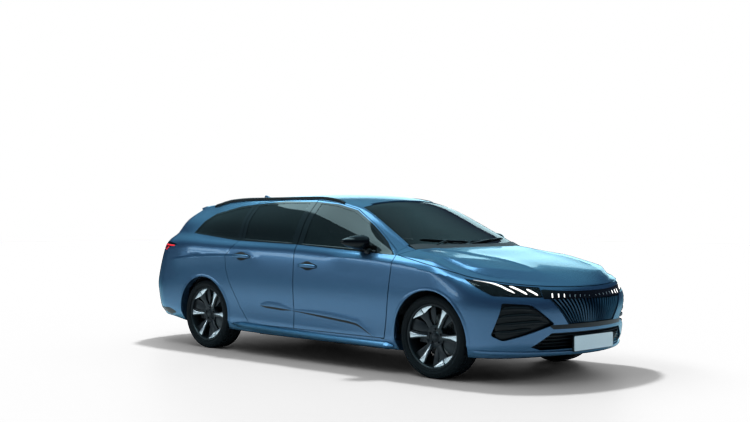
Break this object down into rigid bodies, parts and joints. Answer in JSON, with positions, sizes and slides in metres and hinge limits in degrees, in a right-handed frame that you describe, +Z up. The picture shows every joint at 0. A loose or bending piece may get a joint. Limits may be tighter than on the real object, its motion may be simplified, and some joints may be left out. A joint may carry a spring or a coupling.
{
  "type": "station wagon",
  "caption": "Compact five-door station wagon with opening doors, bonnet and tailgate, turning and steering wheels, hollow cabin and roof rails.",
  "frame": {"origin": "on the ground under the middle of the car, halfway between the bumpers", "axes": "+X forwards to the nose, +Y to the car's left, +Z up"},
  "size_m": [4.6315, 2.0526, 1.442],
  "materials": {
    "paint": "gloss metallic blue",
    "glass": "tinted",
    "black_trim": "gloss black",
    "dark_plastic": "grained",
    "lamp_clear": "clear",
    "lamp_red": "clear red",
    "tyre": "rubber",
    "rim": "machined and painted",
    "steel": "coated",
    "seat": "woven"
  },
  "bodies": {
    "root": {"battery_pack": "dark_plastic", "dashboard": "dark_plastic", "drive_unit": "steel", "floor_pan": "dark_plastic", "front_bumper": "paint", "front_seats": "seat", "front_structure": "steel", "front_suspension": "steel", "front_wing_left": "paint", "front_wing_right": "paint", "grille": "black_trim", "headlamp_left": "lamp_clear", "headlamp_right": "lamp_clear", "quarter_glass_left": "glass", "quarter_glass_right": "glass", "rear_axle": "steel", "rear_bench": "seat", "rear_bumper": "paint", "roof_panel": "paint", "roof_rail_left": "black_trim", "roof_rail_right": "black_trim", "scuttle": "dark_plastic", "side_frame_left": "paint", "side_frame_right": "paint", "tail_lamp_left": "lamp_red", "tail_lamp_right": "lamp_red", "windscreen": "glass"},
    "bonnet": {"bonnet": "paint"},
    "tailgate": {"tailgate": "paint", "tailgate_glass": "glass", "tail_light_bar": "lamp_red"},
    "front_door_left": {"front_door_left": "paint", "front_door_glass_left": "glass", "door_mirror_left": "black_trim"},
    "front_door_right": {"front_door_right": "paint", "front_door_glass_right": "glass", "door_mirror_right": "black_trim"},
    "rear_door_left": {"rear_door_left": "paint", "rear_door_glass_left": "glass"},
    "rear_door_right": {"rear_door_right": "paint", "rear_door_glass_right": "glass"},
    "front_hub_left": {"front_knuckle_left": "steel"},
    "front_hub_right": {"front_knuckle_right": "steel"},
    "front_wheel_left": {"front_tyre_left": "tyre", "front_rim_left": "rim"},
    "front_wheel_right": {"front_tyre_right": "tyre", "front_rim_right": "rim"},
    "rear_wheel_left": {"rear_tyre_left": "tyre", "rear_rim_left": "rim"},
    "rear_wheel_right": {"rear_tyre_right": "tyre", "rear_rim_right": "rim"},
    "steering_wheel": {"steering_wheel": "dark_plastic"}
  },
  "joints": [
    {"name": "bonnet_hinge", "type": "hinge", "parent": "root", "child": "bonnet", "pos_m": [0.90494, 0, 0.96902], "axis": [0, -1, 0], "range_deg": [0, 50]},
    {"name": "tailgate_hinge", "type": "hinge", "parent": "root", "child": "tailgate", "pos_m": [-1.58218, 0, 1.37423], "axis": [0, 1, 0], "range_deg": [0, 75]},
    {"name": "front_door_left_hinge", "type": "hinge", "parent": "root", "child": "front_door_left", "pos_m": [1.09618, 0.932, 0.6], "axis": [0, 0, -1], "range_deg": [0, 65]},
    {"name": "rear_door_left_hinge", "type": "hinge", "parent": "root", "child": "rear_door_left", "pos_m": [-0.03897, 0.932, 0.6], "axis": [0, 0, -1], "range_deg": [0, 70]},
    {"name": "steer_left", "type": "hinge", "parent": "root", "child": "front_hub_left", "pos_m": [1.465, 0.7, 0.318], "axis": [0, 0, 1], "range_deg": [-32, 32]},
    {"name": "front_wheel_left_spin", "type": "hinge", "parent": "front_hub_left", "child": "front_wheel_left", "pos_m": [1.465, 0.778, 0.318], "axis": [0, 1, 0], "continuous": true},
    {"name": "rear_wheel_left_spin", "type": "hinge", "parent": "root", "child": "rear_wheel_left", "pos_m": [-1.267, 0.778, 0.318], "axis": [0, 1, 0], "continuous": true},
    {"name": "front_door_right_hinge", "type": "hinge", "parent": "root", "child": "front_door_right", "pos_m": [1.09618, -0.932, 0.6], "axis": [0, 0, 1], "range_deg": [0, 65]},
    {"name": "rear_door_right_hinge", "type": "hinge", "parent": "root", "child": "rear_door_right", "pos_m": [-0.03897, -0.932, 0.6], "axis": [0, 0, 1], "range_deg": [0, 70]},
    {"name": "steer_right", "type": "hinge", "parent": "root", "child": "front_hub_right", "pos_m": [1.465, -0.7, 0.318], "axis": [0, 0, 1], "range_deg": [-32, 32]},
    {"name": "front_wheel_right_spin", "type": "hinge", "parent": "front_hub_right", "child": "front_wheel_right", "pos_m": [1.465, -0.778, 0.318], "axis": [0, 1, 0], "continuous": true},
    {"name": "rear_wheel_right_spin", "type": "hinge", "parent": "root", "child": "rear_wheel_right", "pos_m": [-1.267, -0.778, 0.318], "axis": [0, 1, 0], "continuous": true},
    {"name": "steering_wheel_turn", "type": "hinge", "parent": "root", "child": "steering_wheel", "pos_m": [0.48694, 0.3704, 0.90125], "axis": [-0.9063, 0, 0.4226], "range_deg": [-448, 448]}
  ],
  "couplings": [
    {"joint": "steer_right", "follows": "steer_left", "ratio": 1},
    {"joint": "steering_wheel_turn", "follows": "steer_left", "ratio": 14}
  ]
}
